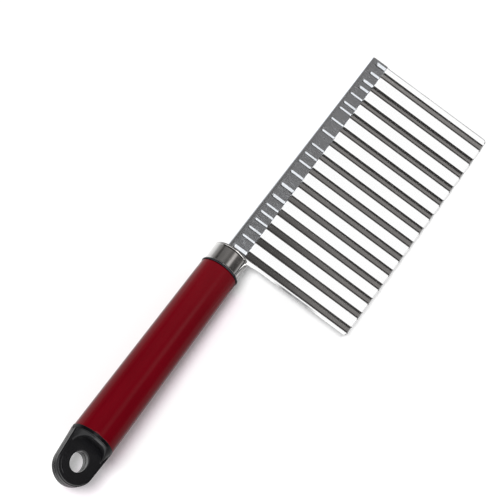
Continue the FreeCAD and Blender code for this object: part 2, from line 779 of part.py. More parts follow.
def write(pieces):
    os.makedirs("parts", exist_ok=True)
    for name, piece in pieces.items():
        piece.Shape.exportStep(os.path.join("parts", f"{name}.step"))
        box = piece.Shape.BoundBox
        size = f"{box.XLength:.2f} x {box.YLength:.2f} x {box.ZLength:.2f}"
        print(f"{name}: {size} mm, {piece.Shape.Volume:.1f} mm3")


pieces = make_pieces()
set_down(pieces)
check(pieces)
write(pieces)
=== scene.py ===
import json
import math

import bpy
import bmesh
import numpy as np
from mathutils import Matrix, Vector


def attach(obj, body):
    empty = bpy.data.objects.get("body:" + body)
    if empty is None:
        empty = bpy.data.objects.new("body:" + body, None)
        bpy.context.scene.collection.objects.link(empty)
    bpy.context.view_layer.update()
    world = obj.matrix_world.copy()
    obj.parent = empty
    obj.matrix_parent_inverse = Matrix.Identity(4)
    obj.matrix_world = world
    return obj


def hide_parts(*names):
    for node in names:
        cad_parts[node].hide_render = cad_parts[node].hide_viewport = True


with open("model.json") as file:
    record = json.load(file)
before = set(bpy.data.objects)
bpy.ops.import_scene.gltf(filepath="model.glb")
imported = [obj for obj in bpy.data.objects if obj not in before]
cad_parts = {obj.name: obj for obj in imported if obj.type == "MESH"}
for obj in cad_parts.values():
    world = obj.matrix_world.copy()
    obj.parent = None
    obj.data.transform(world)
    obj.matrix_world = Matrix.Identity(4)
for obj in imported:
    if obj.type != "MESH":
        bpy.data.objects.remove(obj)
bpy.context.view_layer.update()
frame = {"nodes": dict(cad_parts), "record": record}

bl_info = {
    "name": "Crinkle cutter",
    "version": (1, 0, 0),
    "blender": (4, 5, 0),
    "location": "3D View > Sidebar > Crinkle cutter",
    "description": "Makes a hand crinkle cutter over its packed model, and its table and light",
    "category": "Add Mesh",
}

# The tool is drawn in millimetres in its own frame: X runs from the cap's tip along the
# handle's axis, the cutting edge points to -Y, and Z is square to the blade. The hanging
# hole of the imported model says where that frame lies.
HOLE_STATION = 9.1
HANG_HOLE = next(mount for mount in frame["record"]["mounts"] if mount["name"] == "hang_hole")
HOLE_AXIS = HANG_HOLE["axis"]
PITCH = math.atan2(HOLE_AXIS[0], HOLE_AXIS[2])
CAP_TURN = math.asin(-HOLE_AXIS[1])
TOOL_TURN = np.array(Matrix.Rotation(PITCH, 3, "Y"))
TOOL_SHIFT = np.array(HANG_HOLE["pos_m"]) - TOOL_TURN @ np.array([HOLE_STATION / 1000, 0, 0])


def measure(name, description, default, unit="LENGTH"):
    return bpy.props.FloatProperty(
        name=name, description=description, default=default, unit=unit
    )


def finish_colour(name, description, default):
    return bpy.props.FloatVectorProperty(
        name=name, description=description, default=default, subtype="COLOR", min=0, max=1
    )


class CutterSizes(bpy.types.PropertyGroup):
    """Sizes of the dressed pieces."""

    wave_pitch: measure("Wave pitch", "Crest to crest", 0.00681)
    wave_depth: measure("Wave depth", "Crest to valley", 0.00145)
    crest_bend: measure("Crest bend", "Radius of the sheet's middle over a crest", 0.0011)
    valley_bend: measure("Valley bend", "Radius of the sheet's middle in a valley", 0.0006)
    valley_shift: measure(
        "Valley shift", "How far the far valleys lie towards the handle", 0.00021
    )
    blade_sheet: measure("Blade sheet", "Thickness of the blade", 0.0004)
    spine_half: measure("Spine half height", "Blade's middle to the spine's outside", 0.001446)
    spine_back: measure("Spine back", "Handle's axis to the spine's back", 0.0024)
    spine_depth: measure("Spine depth", "Back to the free edge of the flanges", 0.0068)
    spine_bow: measure("Spine bow", "How much deeper the spine is by the handle", 0.00088)
    crease_slope: measure(
        "Crease slope", "Slope of a crease's side that faces the handle", 0.175, "ROTATION"
    )
    ferrule_radius: measure("Ferrule radius", "Outside of the ferrule", 0.00685)
    groove_depth: measure(
        "Groove depth", "Depth of the groove behind the ferrule's lip", 0.00015
    )
    tube_rear_radius: measure("Tube rear radius", "Tube at the cap", 0.0082)
    tube_front_radius: measure("Tube front radius", "Tube at the ferrule", 0.00732)
    flange_radius: measure("Flange radius", "Bush's flange between tube and ferrule", 0.0075)
    ear_thickness: measure("Ear thickness", "Hanging ear, face to face", 0.0056)
    ear_radius: measure("Ear radius", "Round end of the ear", 0.00725)
    ear_round: measure("Ear rounding", "Rounding of the ear's rim", 0.0006)
    hole_length: measure("Hole length", "Hanging hole along the handle", 0.0078)
    hole_width: measure("Hole width", "Hanging hole across the handle", 0.0064)
    recess_width: measure("Recess width", "Between the sides of the collar's recess", 0.0123)
    recess_corner: measure("Recess corner", "Radius in the recess's corners", 0.0038)
    recess_rim: measure(
        "Recess rim", "Rounding of the collar's edge round the recess", 0.0009
    )
    ring_radius: measure("Ring radius", "Cap's ring against the tube", 0.00832)
    ear_skew: measure(
        "Ear skew", "How far the ear leans towards the cutting edge", 0.033, "ROTATION"
    )


class CutterColours(bpy.types.PropertyGroup):
    """Colours of the finishes."""

    blade: finish_colour("Blade", "Bright rolled steel of the blade", (0.90, 0.90, 0.90))
    spine: finish_colour("Spine", "Satin steel of the spine", (0.80, 0.83, 0.87))
    ferrule: finish_colour("Ferrule", "Polished steel of the ferrule", (0.88, 0.87, 0.86))
    inner: finish_colour(
        "Inner steel", "Mill finish of the tang and its pin", (0.55, 0.55, 0.57)
    )
    paint: finish_colour("Paint", "Gloss enamel of the tube", (0.145, 0.0015, 0.006))
    plastic: finish_colour(
        "Plastic", "Moulded black of cap and bush", (0.0030, 0.0030, 0.0038)
    )
    floor: finish_colour("Floor", "Table under the tool", (0.93, 0.93, 0.93))


def sizes():
    return bpy.context.scene.cutter_sizes


def colours():
    return bpy.context.scene.cutter_colours


def in_mm(length):
    return length * 1000.0


def to_part(points):
    """Points of the tool's frame, in millimetres, as points of the part, in metres."""
    return (np.asarray(points, float) / 1000.0) @ TOOL_TURN.T + TOOL_SHIFT


def ease(start, end, values):
    """0 before start, 1 after end, and a smooth cubic step between."""
    share = np.clip((values - start) / (end - start), 0.0, 1.0)
    return share * share * (3.0 - 2.0 * share)


def grid_quads(rows, columns, close_rows, close_columns):
    """The corner numbers of a grid's quads. A closed direction joins its last line of
    points to its first."""
    row, column = np.meshgrid(
        np.arange(rows if close_rows else rows - 1),
        np.arange(columns if close_columns else columns - 1),
        indexing="ij",
    )
    next_row = (row + 1) % rows
    next_column = (column + 1) % columns
    corners = (
        row * columns + column,
        row * columns + next_column,
        next_row * columns + next_column,
        next_row * columns + column,
    )
    return np.stack(corners, axis=-1).reshape(-1, 4)


def make_piece(name, node, material, shells, sharp=35.0):
    """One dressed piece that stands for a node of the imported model. Each shell is a grid
    of points in the tool's frame and whether its rows and its columns are closed."""
    all_points = []
    all_quads = []
    count = 0
    for points, close_rows, close_columns in shells:
        rows, columns = points.shape[:2]
        all_points.append(to_part(points).reshape(-1, 3))
        all_quads.append(grid_quads(rows, columns, close_rows, close_columns) + count)
        count += rows * columns
    mesh = bpy.data.meshes.new(name)
    mesh.from_pydata(np.concatenate(all_points), [], np.concatenate(all_quads))
    shape = bmesh.new()
    shape.from_mesh(mesh)
    bmesh.ops.remove_doubles(shape, verts=shape.verts, dist=1e-7)
    bmesh.ops.recalc_face_normals(shape, faces=shape.faces)
    shape.to_mesh(mesh)
    shape.free()
    mesh.shade_smooth()
    mesh.set_sharp_from_angle(angle=math.radians(sharp))
    mesh.materials.append(material)
    piece = bpy.data.objects.new(name, mesh)
    bpy.context.scene.collection.objects.link(piece)
    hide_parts(node)
    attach(piece, "root")
    return piece


def lathe(stations, radii, steps):
    """A closed outline of stations and radii carried round the handle's axis: the point
    (x, r) at the angle a goes to (x, r sin a, r cos a)."""
    angle = np.linspace(0.0, 2.0 * np.pi, steps, endpoint=False)[:, None]
    stations = np.asarray(stations, float)[None, :]
    radii = np.asarray(radii, float)[None, :]
    x = np.broadcast_to(stations, (steps, stations.shape[1]))
    return np.stack([x, radii * np.sin(angle), radii * np.cos(angle)], axis=-1)


def arc(centre_x, centre_r, radius, start, end, steps):
    """Points of a circular arc in a lathe outline, from one angle to another in
    degrees, where 0 points along the axis and 90 away from it."""
    turn = np.radians(np.linspace(start, end, steps))
    return centre_x + radius * np.cos(turn), centre_r + radius * np.sin(turn)


def outline(*parts):
    """Join stretches of stations and radii into one outline."""
    stations = np.concatenate([np.atleast_1d(part[0]) for part in parts])
    radii = np.concatenate([np.atleast_1d(part[1]) for part in parts])
    return stations, radii


# Materials.


def fill(tree, node, sockets):
    """Give inputs of a node their values. Each is a value to set or a socket to link."""
    for key, value in sockets.items():
        if isinstance(value, bpy.types.NodeSocket):
            tree.links.new(value, node.inputs[key])
        else:
            node.inputs[key].default_value = value


def add_node(tree, kind, sockets, **settings):
    made = tree.nodes.new(kind)
    for key, value in settings.items():
        setattr(made, key, value)
    fill(tree, made, sockets)
    return made


def mix_colour(tree, factor, first, second, way="MIX"):
    mixed = add_node(
        tree, "ShaderNodeMix", {0: factor, 6: first, 7: second}, data_type="RGBA",
        blend_type=way,
    )
    return mixed.outputs[2]


def shaded(tree, first, second):
    """One colour times another."""
    return mix_colour(tree, 1.0, first, second, "MULTIPLY")


def ranged(tree, value, low, high, to_low, to_high):
    """A value moved from one range to another, held within it."""
    made = add_node(tree, "ShaderNodeMapRange", {
        "Value": value, "From Min": low, "From Max": high, "To Min": to_low, "To Max": to_high,
    })
    return made.outputs["Result"]


def arithmetic(tree, operation, first, second=0.0):
    made = add_node(tree, "ShaderNodeMath", {0: first, 1: second}, operation=operation)
    return made.outputs[0]


def product(tree, first, second):
    return arithmetic(tree, "MULTIPLY", first, second)


def apart(tree, value, middle):
    """How far a value is from a middle, either way."""
    return arithmetic(tree, "ABSOLUTE", arithmetic(tree, "SUBTRACT", value, middle))


def vector_maths(tree, operation, first, second=(0.0, 0.0, 0.0), result="Vector"):
    made = add_node(tree, "ShaderNodeVectorMath", {0: first, 1: second}, operation=operation)
    return made.outputs[result]


def separate(tree, vector):
    return add_node(tree, "ShaderNodeSeparateXYZ", {0: vector}).outputs


def colour_ramp(tree, factor, stops):
    ramp = add_node(tree, "ShaderNodeValToRGB", {"Fac": factor})
    elements = ramp.color_ramp.elements
    while len(elements) < len(stops):
        elements.new(0.5)
    for element, (place, colour) in zip(elements, stops):
        element.position = place
        element.color = (*colour, 1.0)
    return ramp.outputs["Color"]


def stops(half_range, levels, tint=(1.0, 1.0, 1.0)):
    """Ramp stops from places and levels, over a range from minus to plus half."""
    return [
        (0.5 + place / (2.0 * half_range), tuple(level * part for part in tint))
        for place, level in levels
    ]


def new_material(name):
    material = bpy.data.materials.new(name)
    material.use_nodes = True
    tree = material.node_tree
    tree.nodes.clear()
    shader = add_node(tree, "ShaderNodeBsdfPrincipled", {})
    add_node(tree, "ShaderNodeOutputMaterial", {"Surface": shader.outputs["BSDF"]})
    return material, tree, shader


def object_coordinates(tree):
    return add_node(tree, "ShaderNodeTexCoord", {}).outputs["Object"]


def along_tool(tree, vector):
    """A vector of the part turned into the tool's directions."""
    made = add_node(
        tree, "ShaderNodeMapping", {"Vector": vector, "Rotation": (0.0, -PITCH, 0.0)},
        vector_type="POINT",
    )
    return made.outputs["Vector"]


def tool_coordinates(tree, scale=(1.0, 1.0, 1.0)):
    """Object coordinates turned to lie along the tool and scaled for one pattern."""
    turned = along_tool(tree, object_coordinates(tree))
    scaled = add_node(tree, "ShaderNodeMapping", {"Vector": turned, "Scale": scale})
    return scaled.outputs["Vector"]


def tip_coordinates(tree):
    """Coordinates along the tool, measured from the cap's tip on the handle's axis."""
    tip = tuple(TOOL_TURN.T @ TOOL_SHIFT)
    return vector_maths(tree, "SUBTRACT", tool_coordinates(tree), tip)


def noise(tree, vector, scale, detail, roughness):
    made = add_node(tree, "ShaderNodeTexNoise", {
        "Vector": vector, "Scale": scale, "Detail": detail, "Roughness": roughness,
    })
    return made.outputs["Fac"]


def bump(tree, height, distance, normal=None):
    sockets = {"Height": height, "Distance": distance}
    if normal is not None:
        sockets["Normal"] = normal
    return add_node(tree, "ShaderNodeBump", sockets).outputs["Normal"]


def tinted(colour, share):
    """A colour made lighter or darker, with its alpha."""
    return (*(min(1.0, part * share) for part in colour), 1.0)


def steel(part, grain, grain_height, roughness, spread, cloud):
    """Steel sheet: fine grain lines, a cloudy tone and small changes of gloss."""
    colour = tuple(getattr(colours(), part))
    material, tree, shader = new_material(part + "_steel")
    lines = noise(tree, tool_coordinates(tree, grain), 1.0, 3.0, 0.65)
    clouds = noise(tree, tool_coordinates(tree), 90.0, 3.0, 0.55)
    scuffs = noise(tree, tool_coordinates(tree, (1.0, 0.35, 1.0)), 900.0, 2.0, 0.6)
    shade = mix_colour(tree, clouds, tinted(colour, cloud), tinted(colour, 1.03))
    streaked = mix_colour(
        tree, ranged(tree, lines, 0.35, 0.65, 0.0, 0.10), shade, tinted(colour, 0.8)
    )
    gloss = arithmetic(
        tree, "ADD",
        ranged(tree, lines, 0.3, 0.7, roughness, roughness + spread),
        ranged(tree, scuffs, 0.55, 0.8, 0.0, spread),
    )
    fill(tree, shader, {
        "Base Color": streaked, "Metallic": 1.0, "Roughness": gloss,
        "Normal": bump(tree, lines, grain_height),
    })
    return material


def blade_steel():
    """Bright rolled steel with two painted dark marks: painted shade along the sheared far
    edge, and a long painted dark reflection on the first crest."""
    material = steel("blade", (25.0, 2600.0, 25.0), 0.0000012, 0.09, 0.05, 0.97)
    tree = material.node_tree
    shader = next(each for each in tree.nodes if each.type == "BSDF_PRINCIPLED")
    base = shader.inputs["Base Color"]
    parts = separate(tree, tip_coordinates(tree))
    uneven = noise(tree, tool_coordinates(tree, (1.0, 0.3, 1.0)), 500.0, 2.0, 0.6)
    # painted shade: a dark line along the blade's far edge
    far_edge_painted_shade = ranged(tree, parts["X"], 0.19995, 0.20008, 0.0, 0.9)
    # painted reflection: a long dark streak along the first crest by the handle
    off_line = apart(tree, parts["X"], 0.10565)
    off_middle = apart(tree, parts["Y"], -0.027)
    painted_reflection_streak = product(
        tree, ranged(tree, off_line, 0.00015, 0.00045, 1.0, 0.0),
        ranged(tree, off_middle, 0.005, 0.010, 1.0, 0.0),
    )
    # the painted shade and the painted reflection, broken up by noise, darken the steel's colour
    painted_marks = product(
        tree, arithmetic(tree, "MAXIMUM", far_edge_painted_shade, painted_reflection_streak),
        ranged(tree, uneven, 0.3, 0.6, 0.6, 1.0),
    )
    painted_dark = mix_colour(tree, painted_marks, base.links[0].from_socket, (0.16, 0.16, 0.165, 1.0))
    tree.links.new(painted_dark, base)
    return material


def crimson_paint():
    """Gloss enamel on the tube: a little orange peel, a faint flow of the colour along
    the tube and fine rubbing marks."""
    colour = tuple(colours().paint)
    material, tree, shader = new_material("crimson_paint")
    flow = noise(tree, tool_coordinates(tree, (0.25, 1.0, 1.0)), 120.0, 3.0, 0.5)
    peel = noise(tree, tool_coordinates(tree), 700.0, 2.0, 0.45)
    rubs = noise(tree, tool_coordinates(tree, (0.08, 1.0, 1.0)), 2600.0, 2.0, 0.6)
    shade = mix_colour(
        tree, ranged(tree, flow, 0.3, 0.7, 0.0, 1.0), tinted(colour, 0.90), tinted(colour, 1.10)
    )
    fill(tree, shader, {
        "Base Color": shade, "Roughness": ranged(tree, rubs, 0.45, 0.75, 0.07, 0.12),
        "Normal": bump(tree, peel, 0.000006), "IOR": 1.5, "Specular IOR Level": 0.3,
    })
    return material


def black_plastic():
    """Moulded black plastic: a fine moulding grain, greyer handling haze, small changes
    of gloss, a parting line square to the hanging hole, a faint step near the ear's
    round rim, and painted shade in the collar's recess, where its reflection is turned
    down."""
    colour = tuple(colours().plastic)
    material, tree, shader = new_material("black_plastic")
    grain = noise(tree, tool_coordinates(tree), 2400.0, 2.0, 0.5)
    haze = noise(tree, tool_coordinates(tree), 160.0, 3.0, 0.6)
    shade = mix_colour(
        tree, ranged(tree, haze, 0.35, 0.75, 0.0, 1.0), tinted(colour, 1.0), tinted(colour, 1.7)
    )

    place = object_coordinates(tree)
    hole_place, hole_axis = np.array(HANG_HOLE["pos_m"]), tuple(HOLE_AXIS)
    from_hole = vector_maths(tree, "SUBTRACT", place, tuple(hole_place))
    level = vector_maths(tree, "DOT_PRODUCT", from_hole, hole_axis, "Value")
    parting = ranged(tree, apart(tree, level, 0.0), 0.00010, 0.00050, 1.0, 0.0)
    normal = bump(tree, parting, 0.00020)

    step_radius = 0.00525
    step_middle = TOOL_TURN @ np.array([-0.0015, 0.0, 0.0]) + hole_place
    from_middle = vector_maths(tree, "SUBTRACT", place, tuple(step_middle))
    off_axis = vector_maths(tree, "CROSS_PRODUCT", from_middle, hole_axis)
    off_step = apart(
        tree, vector_maths(tree, "LENGTH", off_axis, result="Value"), step_radius
    )
    from_tip = tip_coordinates(tree)
    parts = separate(tree, from_tip)
    step = product(
        tree, ranged(tree, off_step, 0.00004, 0.00022, 1.0, 0.0),
        ranged(tree, parts["X"], 0.006, 0.008, 1.0, 0.0),
    )
    step = product(tree, step, ranged(tree, parts["Y"], 0.0005, 0.0020, 0.0, 1.0))
    normal = bump(tree, step, 0.00006, normal)

    from_axis = vector_maths(tree, "MULTIPLY", from_tip, (0.0, 1.0, 1.0))
    radius = vector_maths(tree, "LENGTH", from_axis, result="Value")
    # painted shade: inside the collar's recess the plastic's reflection is turned down
    recess_shade = product(
        tree, ranged(tree, parts["X"], 0.0138, 0.0165, 0.0, 1.0),
        ranged(tree, parts["X"], 0.0172, 0.0175, 1.0, 0.0),
    )
    recess_shade = product(tree, recess_shade, ranged(tree, radius, 0.0062, 0.0068, 1.0, 0.0))
    fill(tree, shader, {
        "Base Color": shade, "Roughness": ranged(tree, haze, 0.3, 0.7, 0.15, 0.22),
        "IOR": 1.5, "Specular IOR Level": ranged(tree, recess_shade, 0.0, 1.0, 0.5, 0.12),
        "Normal": bump(tree, grain, 0.000004, normal),
    })
    return material


# The blade.


def flank_angle(half_pitch, depth, bends):
    """The slope at which two arcs and a straight flank between them climb the wave's
    depth in half a pitch: (half pitch) sin a + (bends - depth) cos a = bends."""
    reach = np.hypot(half_pitch, bends - depth)
    return np.arcsin(bends / reach) - np.arctan2(bends - depth, half_pitch)


def drawn_back(stations, crest_place, pitch, shift):
    """Where along an even wave each station lies, x + s (1 - cos(2 pi t)) / 2 + b, with t
    in pitches from a crest. The shift s is a quarter of the whole before 150 mm and all
    of it beyond 165 mm, and brings the valleys towards the handle. The last term b, up
    to 0.15 mm, brings the first waves there too."""
    here = shift * (0.25 + 0.75 * ease(150.0, 165.0, stations))
    turn = 2.0 * np.pi * (stations - crest_place) / pitch
    first = 0.15 * (1.0 - ease(105.0, 118.0, stations))
    return stations + here * (1.0 - np.cos(turn)) / 2.0 + first


def wave(stations, crest_place, pitch, depth, crest_bend, valley_bend, shift):
    """Height of the sheet's middle and its slope at each station. At a distance u from
    the nearest crest it is the crest's arc while u is small, the valley's arc near half
    a pitch, and a straight flank between the two. By the handle the valley's arc is
    1.9 times as wide."""
    half = pitch / 2.0
    valley_bend = valley_bend * (1.0 + 0.9 * (1.0 - ease(112.0, 150.0, stations)))
    angle = flank_angle(half, depth, crest_bend + valley_bend)
    even = drawn_back(stations, crest_place, pitch, shift)
    nudged = drawn_back(stations + 1e-4, crest_place, pitch, shift)
    turns = (even - crest_place) / pitch
    offset = (turns - np.round(turns)) * pitch
    u = np.abs(offset)
    w = half - u
    sine = np.sin(angle)
    on_crest = u < crest_bend * sine
    in_valley = w < valley_bend * sine
    crest = depth / 2.0 - crest_bend + np.sqrt(np.maximum(crest_bend**2 - u**2, 0.0))
    valley = valley_bend - depth / 2.0 - np.sqrt(np.maximum(valley_bend**2 - w**2, 0.0))
    flank_start = depth / 2.0 - crest_bend * (1.0 - np.cos(angle))
    flank = flank_start - (u - crest_bend * sine) * np.tan(angle)
    height = np.where(on_crest, crest, np.where(in_valley, valley, flank))
    lean = np.where(
        on_crest, np.arcsin(np.clip(u / crest_bend, 0.0, 1.0)),
        np.where(in_valley, np.arcsin(np.clip(w / valley_bend, 0.0, 1.0)), angle),
    )
    lean = np.arctan(np.tan(lean) * (nudged - even) / 1e-4)
    return height, lean * np.sign(offset)


def wave_stations(near, far, crest_place, pitch, depth, crest_bend, valley_bend, shift):
    """Stations along the blade, close together in the bends, from one end to the other."""
    half = pitch / 2.0
    sine = np.sin(flank_angle(half, depth, crest_bend + valley_bend))
    crest = np.linspace(0.0, crest_bend * sine, 6, endpoint=False)
    flank = np.linspace(crest_bend * sine, half - valley_bend * sine, 9, endpoint=False)
    valley = np.linspace(half - valley_bend * sine, half, 6, endpoint=False)
    down = np.concatenate([crest, flank, valley])
    one = np.concatenate([down, pitch - down[::-1][:-1], [half]])
    counts = np.arange(-16, 2)[:, None]
    every = (crest_place + counts * pitch + one[None, :]).ravel()
    fine = np.arange(near - 9.0, far + 9.0, 0.01)
    every = np.interp(every, drawn_back(fine, crest_place, pitch, shift), fine)
    ends = near + np.array([0.0, 0.05, 0.15, 0.3, 0.5, 0.8, 1.2])
    every = np.concatenate([every, ends, far + near - ends])
    return np.unique(np.round(np.clip(every, near, far), 5))


class CUTTER_OT_blade(bpy.types.Operator):
    """Make the corrugated blade with its ground cutting edge"""

    bl_idname = "cutter.blade"
    bl_label = "Corrugated blade"

    def execute(self, context):
        make_blade()
        return {"FINISHED"}


def make_blade():
    """The sheet's middle is the wave carried along Y. Beside the spine the wave is a
    sixth shallower by the handle and a little deeper at the far end, and the sheet's
    first corner reaches back there. Its upper and lower sides stand half the sheet off
    that middle along its normal, and the upper side comes down to the cutting edge over
    the bevel."""
    own = sizes()
    near, far = 105.3, 200.3
    last_valley = far - 1.74
    depth_to_edge, corner = 49.4, 1.2
    bevel_width, bevel_depth = 0.32, 0.3
    spine_wall, slip = 0.5, 0.05
    rod_radius = in_mm(own.spine_half) - spine_wall - slip
    top = in_mm(own.spine_back) - in_mm(own.spine_half) - rod_radius - slip
    pitch = in_mm(own.wave_pitch)
    crest_place = last_valley + pitch / 2.0
    form = (
        crest_place, pitch, in_mm(own.wave_depth), in_mm(own.crest_bend),
        in_mm(own.valley_bend), in_mm(own.valley_shift),
    )
    half_sheet = in_mm(own.blade_sheet) / 2.0
    x = wave_stations(near, far, *form)
    inside = np.minimum(x - near, far - x)
    short = np.clip(corner - inside, 0.0, corner)
    edge = -depth_to_edge + corner - np.sqrt(corner**2 - short**2)
    off_edge = np.concatenate([
        [0.0, 0.08, 0.16, 0.24, 0.32, 0.40, 0.46, 0.52, 0.62, 0.8],
        np.linspace(1.1, 3.5, 7), np.linspace(4.5, 49.0, 30), [80.0],
    ])
    y = np.minimum(edge[:, None] + off_edge[None, :], top)
    height, lean = wave(x, *form)
    share = 0.04 * ease(185.0, 196.0, x) - 0.17 * (1.0 - ease(115.0, 150.0, x))
    share = 1.0 + share[:, None] * (1.0 - ease(6.0, 44.0, -y))
    height = height[:, None] * share
    lean = lean[:, None] * share
    by_spine = 1.0 - ease(5.0, 12.0, -y)
    reach_back = 0.45 * by_spine * (1.0 - ease(near, near + 1.5, x))[:, None]
    thin = bevel_depth * np.clip(1.0 - off_edge / bevel_width, 0.0, 1.0)[None, :]
    upper = half_sheet - thin
    lower = np.full_like(upper, -half_sheet)
    sides = []
    for rise in (upper, lower):
        side_x = np.clip(x[:, None] + rise * np.sin(lean), near, far) - reach_back
        side_z = height + rise * np.cos(lean)
        sides.append(np.stack(np.broadcast_arrays(side_x, y, side_z), axis=-1))
    loop = np.concatenate([sides[0][:, ::-1], sides[1]], axis=1)
    middle = (sides[0] + sides[1]) / 2.0
    closing = np.concatenate([middle[:, ::-1], middle], axis=1)
    points = np.concatenate([closing[:1], loop, closing[-1:]])
    make_piece(
        "corrugated_blade", "wave_blade", blade_steel(),
        [(points, False, True)], 30.0,
    )


# The spine.


# Each crease's station, its width along the tool, and where it ends towards the fold.
CREASES = (
    (107.75, 1.15, 1.1), (112.9, 0.70, 1.2), (116.9, 0.70, 1.1), (120.8, 0.70, 1.1),
    (124.4, 0.75, 1.1), (127.9, 0.70, 1.1), (132.2, 1.00, 1.1), (137.7, 1.05, 1.1),
    (143.9, 0.85, 1.1), (149.1, 0.70, 1.1), (153.0, 0.65, 1.1), (157.4, 0.65, 1.1),
    (164.2, 0.75, 1.1), (170.2, 0.65, 1.1), (175.6, 0.65, 1.0), (178.4, 0.75, 1.0),
    (182.9, 0.65, 1.0), (187.0, 0.90, -0.2), (190.0, 1.00, 0.0), (194.2, 0.90, -0.4),
    (198.6, 1.20, -0.3),
)


def crease_drop(stations, across, slope):
    """How far the flange is pressed in at each point: it drops quickly before each
    crease and climbs back over the crease's width, at the slope. The crease runs out
    at its top and before the free edge."""
    place, width, top = (np.array(part)[None, :, None] for part in zip(*CREASES))
    along = (stations[:, None, None] - place) / width
    rise = np.clip(along + 0.5, 0.0, 1.0)
    back = np.clip((along + 0.9) / 0.4, 0.0, 1.0)
    share = np.where(along < -0.5, back, 1.0 - rise)
    across = across[:, None, :]
    low = 0.6 * ease(150.0, 185.0, stations)[:, None, None]
    reach = (1.0 - ease(top - 0.15, top + 0.1, across)) * ease(-4.2, -4.0, across + low)
    return np.max(math.tan(slope) * width * share * reach, axis=1)


class CUTTER_OT_spine(bpy.types.Operator):
    """Make the folded spine with its pressed creases"""

    bl_idname = "cutter.spine"
    bl_label = "Folded spine"

    def execute(self, context):
        make_spine()
        return {"FINISHED"}


def make_spine():
    """The channel's section, a U lying on its side, carried along X. With u the share of
    the way back from the far end, its back bows out by (0.41 u + 0.59 u squared) of the
    bow. Creases press the flanges' outsides in."""
    own = sizes()
    half = in_mm(own.spine_half)
    wall = 0.5
    fold = in_mm(own.spine_back) - half
    free = in_mm(own.spine_back) - in_mm(own.spine_depth)
    rear, far = 99.6, 199.95
    rounding = 0.35
    turn = np.radians(np.linspace(90.0, -90.0, 33))
    flange_y = np.concatenate([[free + rounding], np.linspace(free + 0.6, fold - 0.3, 12)])
    rim = np.radians(np.linspace(180.0, 90.0, 5))
    rim_y = free + rounding + rounding * np.cos(rim)
    rim_z = half - rounding + rounding * np.sin(rim)
    section_y = np.concatenate([
        rim_y[:-1], flange_y, fold + half * np.cos(turn), flange_y[::-1], rim_y[:-1][::-1],
    ])
    section_z = np.concatenate([
        rim_z[:-1], np.full(13, half), half * np.sin(turn), np.full(13, -half),
        -rim_z[:-1][::-1],
    ])
    inner = half - wall
    back_turn = np.radians(np.linspace(-90.0, 90.0, 17))
    inner_y = np.concatenate([[free, -2.0], fold + inner * np.cos(back_turn), [-2.0, free]])
    inner_z = np.concatenate([[-inner, -inner], inner * np.sin(back_turn), [inner, inner]])
    fine = np.concatenate([
        place + width * np.linspace(-1.0, 0.6, 17) for place, width, top in CREASES
    ])
    x = np.unique(np.round(np.concatenate([fine, np.linspace(rear, far, 140)]), 4))
    grid_x = x[:, None]
    bow = in_mm(own.spine_bow)

    def bowed(x_values, y_values):
        near_handle = (198.0 - x_values) / 88.0
        share = np.maximum(near_handle * (0.41 + 0.59 * near_handle), 0.0)
        height = 0.16 + 0.84 * (y_values - free) / (fold + half - free)
        return y_values + bow * share * height

    outer_y = bowed(grid_x, section_y[None, :])
    drop = crease_drop(x, outer_y, own.crease_slope)
    outer_z = section_z[None, :] - np.sign(section_z)[None, :] * drop
    outside = np.stack(np.broadcast_arrays(grid_x, outer_y, outer_z), axis=-1)
    inside = np.stack(
        np.broadcast_arrays(grid_x, bowed(grid_x, inner_y[None, :]), inner_z[None, :]),
        axis=-1,
    )
    loop = np.concatenate([outside, inside], axis=1)
    count = section_y.size
    share = np.linspace(0.0, 1.0, count)[::-1]
    across = np.interp(share, np.linspace(0.0, 1.0, inner_y.size), inner_y)
    up = np.interp(share, np.linspace(0.0, 1.0, inner_y.size), inner_z)
    ends = []
    for row, place in ((0, rear), (-1, far)):
        middle_y = np.concatenate([(section_y + across) / 2.0, inner_y])
        middle_z = np.concatenate([(outer_z[row] + up) / 2.0, inner_z])
        middle_y = bowed(place, middle_y)
        ends.append(np.stack([np.full_like(middle_y, place), middle_y, middle_z], axis=-1))
    points = np.concatenate([ends[0][None], loop, ends[1][None]])
    make_piece(
        "folded_spine", "spine_channel",
        steel("spine", (1500.0, 300.0, 900.0), 0.0000030, 0.16, 0.10, 0.90),
        [(points, False, True)], 30.0,
    )


# The ferrule and the tube.


class CUTTER_OT_ferrule(bpy.types.Operator):
    """Make the polished ferrule"""

    bl_idname = "cutter.ferrule"
    bl_label = "Ferrule"

    def execute(self, context):
        make_ferrule()
        return {"FINISHED"}


def make_ferrule():
    """A lathe outline: a bead at the base, the side, a groove, a rolled lip and the
    front, closed by the cup's inside."""
    outside = in_mm(sizes().ferrule_radius)
    groove = outside - in_mm(sizes().groove_depth)
    base, front = 96.9, 104.65
    bead = outside + 0.12
    stations, radii = outline(
        (base, outside - 0.5), (base, bead - 0.2),
        arc(base + 0.2, bead - 0.2, 0.2, 180.0, 90.0, 5),
        arc(base + 0.5, bead - 0.1, 0.1, 90.0, 0.0, 4),
        (base + 0.68, outside), (base + 0.72, outside), (front - 1.22, outside),
        (front - 1.20, outside), (front - 1.16, outside - 0.01), (front - 0.52, groove),
        (front - 0.50, groove), (front - 0.50, outside), (front - 0.17, outside),
        arc(front - 0.15, outside - 0.15, 0.15, 90.0, 0.0, 7),
        (front - 0.04, outside - 0.9), (front - 0.05, 3.0), (front - 0.05, 0.0),
        (front - 0.5, 0.0), (front - 0.5, outside - 0.6),
    )
    points = lathe(stations, radii, 128) + np.array([0.0, 0.12, 0.03])
    make_piece(
        "steel_ferrule", "ferrule",
        steel("ferrule", (900.0, 900.0, 900.0), 0.0000006, 0.05, 0.04, 0.96),
        [(points, True, True)], 40.0,
    )


class CUTTER_OT_tube(bpy.types.Operator):
    """Make the painted handle tube"""

    bl_idname = "cutter.tube"
    bl_label = "Painted tube"

    def execute(self, context):
        make_tube()
        return {"FINISHED"}


